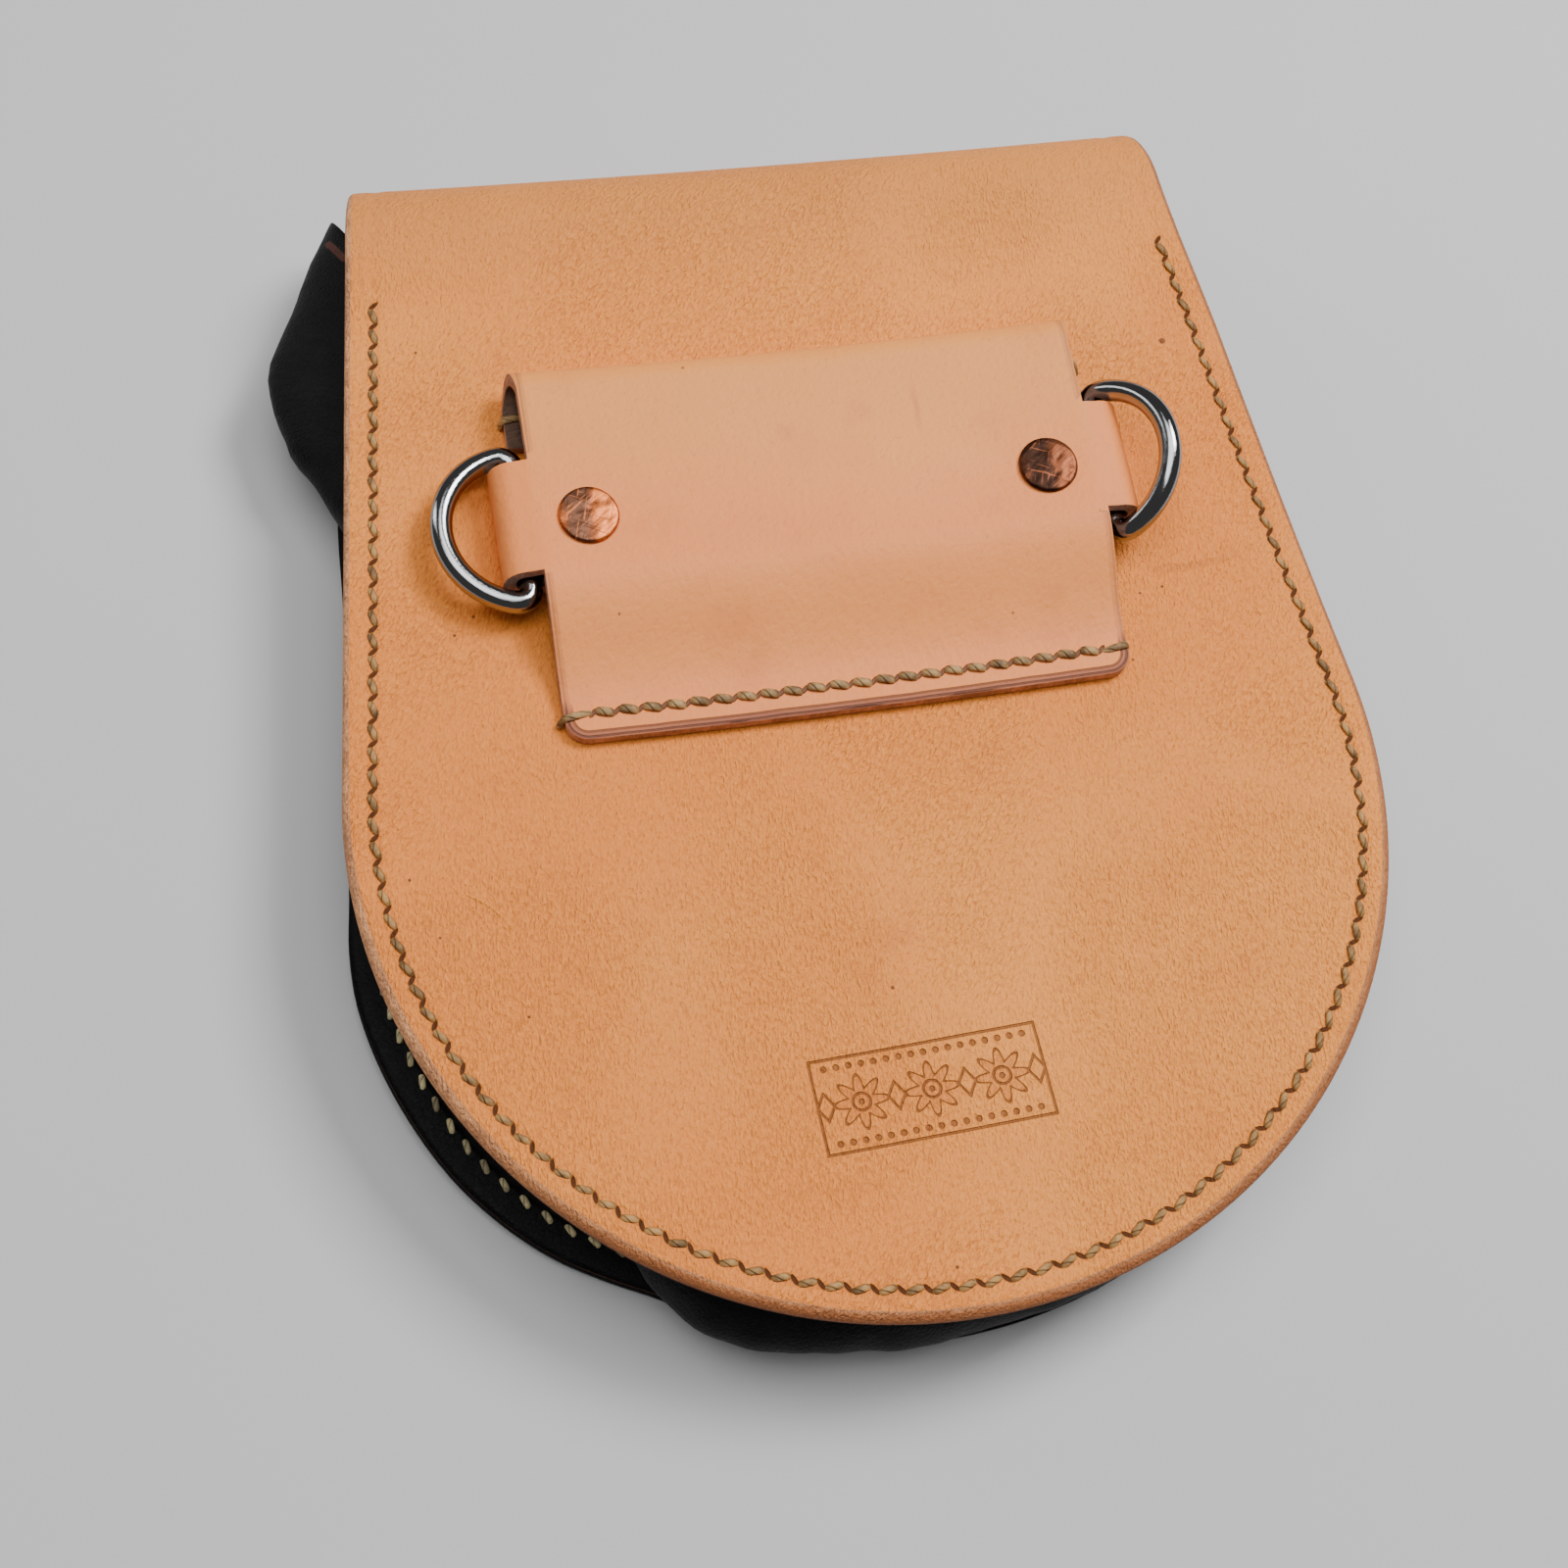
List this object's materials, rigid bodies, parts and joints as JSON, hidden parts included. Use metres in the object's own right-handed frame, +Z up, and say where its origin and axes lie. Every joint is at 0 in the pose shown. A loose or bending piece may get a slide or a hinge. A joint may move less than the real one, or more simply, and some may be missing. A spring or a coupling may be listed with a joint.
{
  "type": "leather belt pouch",
  "caption": "Round-bottomed leather sporran pouch lying on its front, with a gusset, a fold-over flap and a riveted belt loop holding two D-rings on its back.",
  "frame": {"origin": "centre of the pouch's bounding box at the level of the table it lies on", "axes": "+Z up, out of the back of the pouch; +Y from the round bottom towards the fold of the flap; +X to the right of someone who looks at the back with the fold away from them"},
  "size_m": [0.192, 0.2342, 0.0436],
  "materials": {
    "natural_leather": "undyed vegetable-tanned leather, smooth grain, burnished edge",
    "loop_leather": "undyed vegetable-tanned leather, paler and smoother",
    "black_leather": "soft black leather, dull sheen",
    "chrome": "bright nickel or chrome plate on steel wire",
    "copper": null
  },
  "bodies": {
    "pouch": {"back_and_flap": "natural_leather", "front_panel": "black_leather", "gusset": "black_leather", "belt_loop": "loop_leather", "rivet_left": "copper", "rivet_right": "copper"},
    "d_ring_left": {"d_ring_left": "chrome"},
    "d_ring_right": {"d_ring_right": "chrome"}
  },
  "joints": [
    {"name": "d_ring_left_swing", "type": "hinge", "parent": "pouch", "child": "d_ring_left", "pos_m": [-0.0543, 0.03402, 0.03124], "axis": [-0.0087, 0.9986, 0.0515], "range_deg": [-14, 76]},
    {"name": "d_ring_right_swing", "type": "hinge", "parent": "pouch", "child": "d_ring_right", "pos_m": [0.05554, 0.03497, 0.03114], "axis": [0.0087, -0.9986, -0.0515], "range_deg": [-51, 39]}
  ]
}
